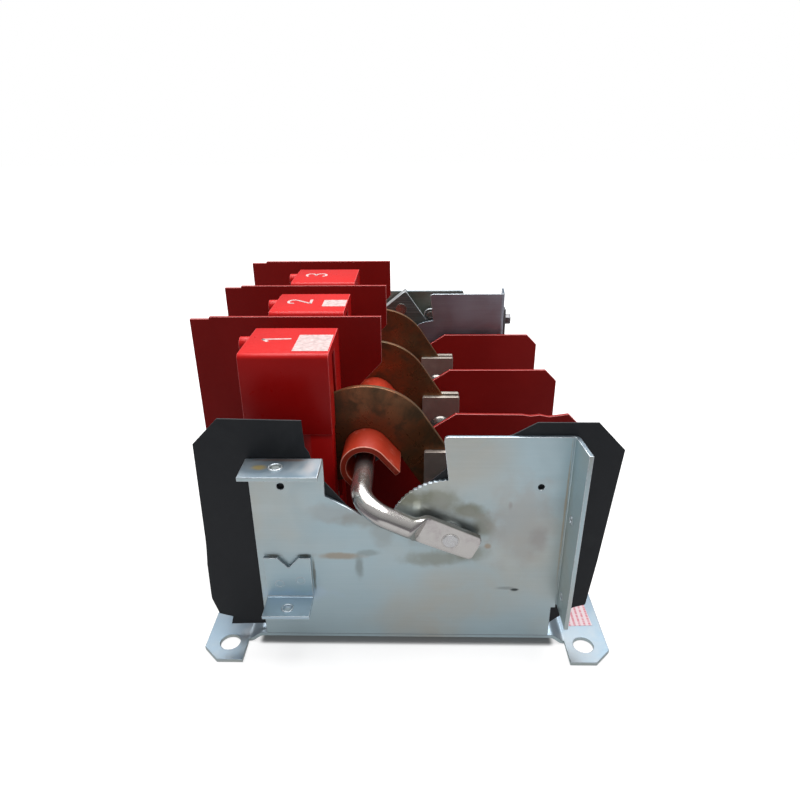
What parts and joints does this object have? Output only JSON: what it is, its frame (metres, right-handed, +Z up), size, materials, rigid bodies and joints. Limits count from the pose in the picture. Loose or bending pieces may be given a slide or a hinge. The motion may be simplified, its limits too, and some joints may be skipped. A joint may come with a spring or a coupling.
{
  "type": "open three-pole knife-blade disconnect switch mechanism",
  "caption": "Open knife-blade safety disconnect switch: plated steel frame, red insulating barriers and arc boxes, and copper blades on a common crossbar turned by a bent rod.",
  "frame": {"origin": "middle of the four mounting holes, on the plane that the base pan's flanges rest on", "axes": "+X to the load side, +Y from the bail side to the mechanism side, +Z up, away from the mounting surface"},
  "size_m": [0.3551, 0.4588, 0.2356],
  "materials": {
    "plated_steel": "zinc plated sheet with faint stains",
    "barrier_red": "red glass-filled sheet, cut edges paler",
    "chute_red": "moulded red insulation",
    "support_red": "moulded red insulation",
    "black_sheet": "thin black insulating sheet",
    "copper": "oxidised copper with paler rims",
    "tinned_copper": "dull tinned copper",
    "bright_rod": "bright plated round steel",
    "channel_red": "orange-red coated channel",
    "bolt_steel": "plated fasteners",
    "dark_steel": "dark unplated steel"
  },
  "bodies": {
    "frame": {"base_pan": "plated_steel", "near_side_plate": "plated_steel", "far_side_plate": "plated_steel", "near_flanges": "plated_steel", "far_flanges": "plated_steel", "notch_bracket": "plated_steel", "black_sheet": "black_sheet", "near_pivot_pin": "bolt_steel", "far_pivot_pin": "bolt_steel", "mechanism_plate": "plated_steel", "mechanism_spacers": "bolt_steel", "corner_strap": "dark_steel", "corner_bolts": "dark_steel", "barrier_1": "barrier_red", "arc_chute_1": "chute_red", "contact_support_1": "support_red", "line_contact_1": "tinned_copper", "hinge_support_1": "support_red", "load_terminal_1": "tinned_copper", "hinge_bolt_1": "bolt_steel", "barrier_2": "barrier_red", "arc_chute_2": "chute_red", "contact_support_2": "support_red", "line_contact_2": "tinned_copper", "hinge_support_2": "support_red", "load_terminal_2": "tinned_copper", "hinge_bolt_2": "bolt_steel", "barrier_3": "barrier_red", "arc_chute_3": "chute_red", "contact_support_3": "support_red", "line_contact_3": "tinned_copper", "hinge_support_3": "support_red", "load_terminal_3": "tinned_copper", "hinge_bolt_3": "bolt_steel"},
    "crossbar": {"bail_rod": "bright_rod", "crossbar_channel": "channel_red", "crossbar_spacers": "dark_steel", "blade_1": "copper", "blade_2": "copper", "blade_3": "copper", "drive_lever": "plated_steel", "drive_pin": "bolt_steel"}
  },
  "joints": [
    {"name": "crossbar_turn", "type": "hinge", "parent": "frame", "child": "crossbar", "pos_m": [0.0334, 0, 0.1082], "axis": [0, 1, 0], "range_deg": [0, 50]}
  ]
}
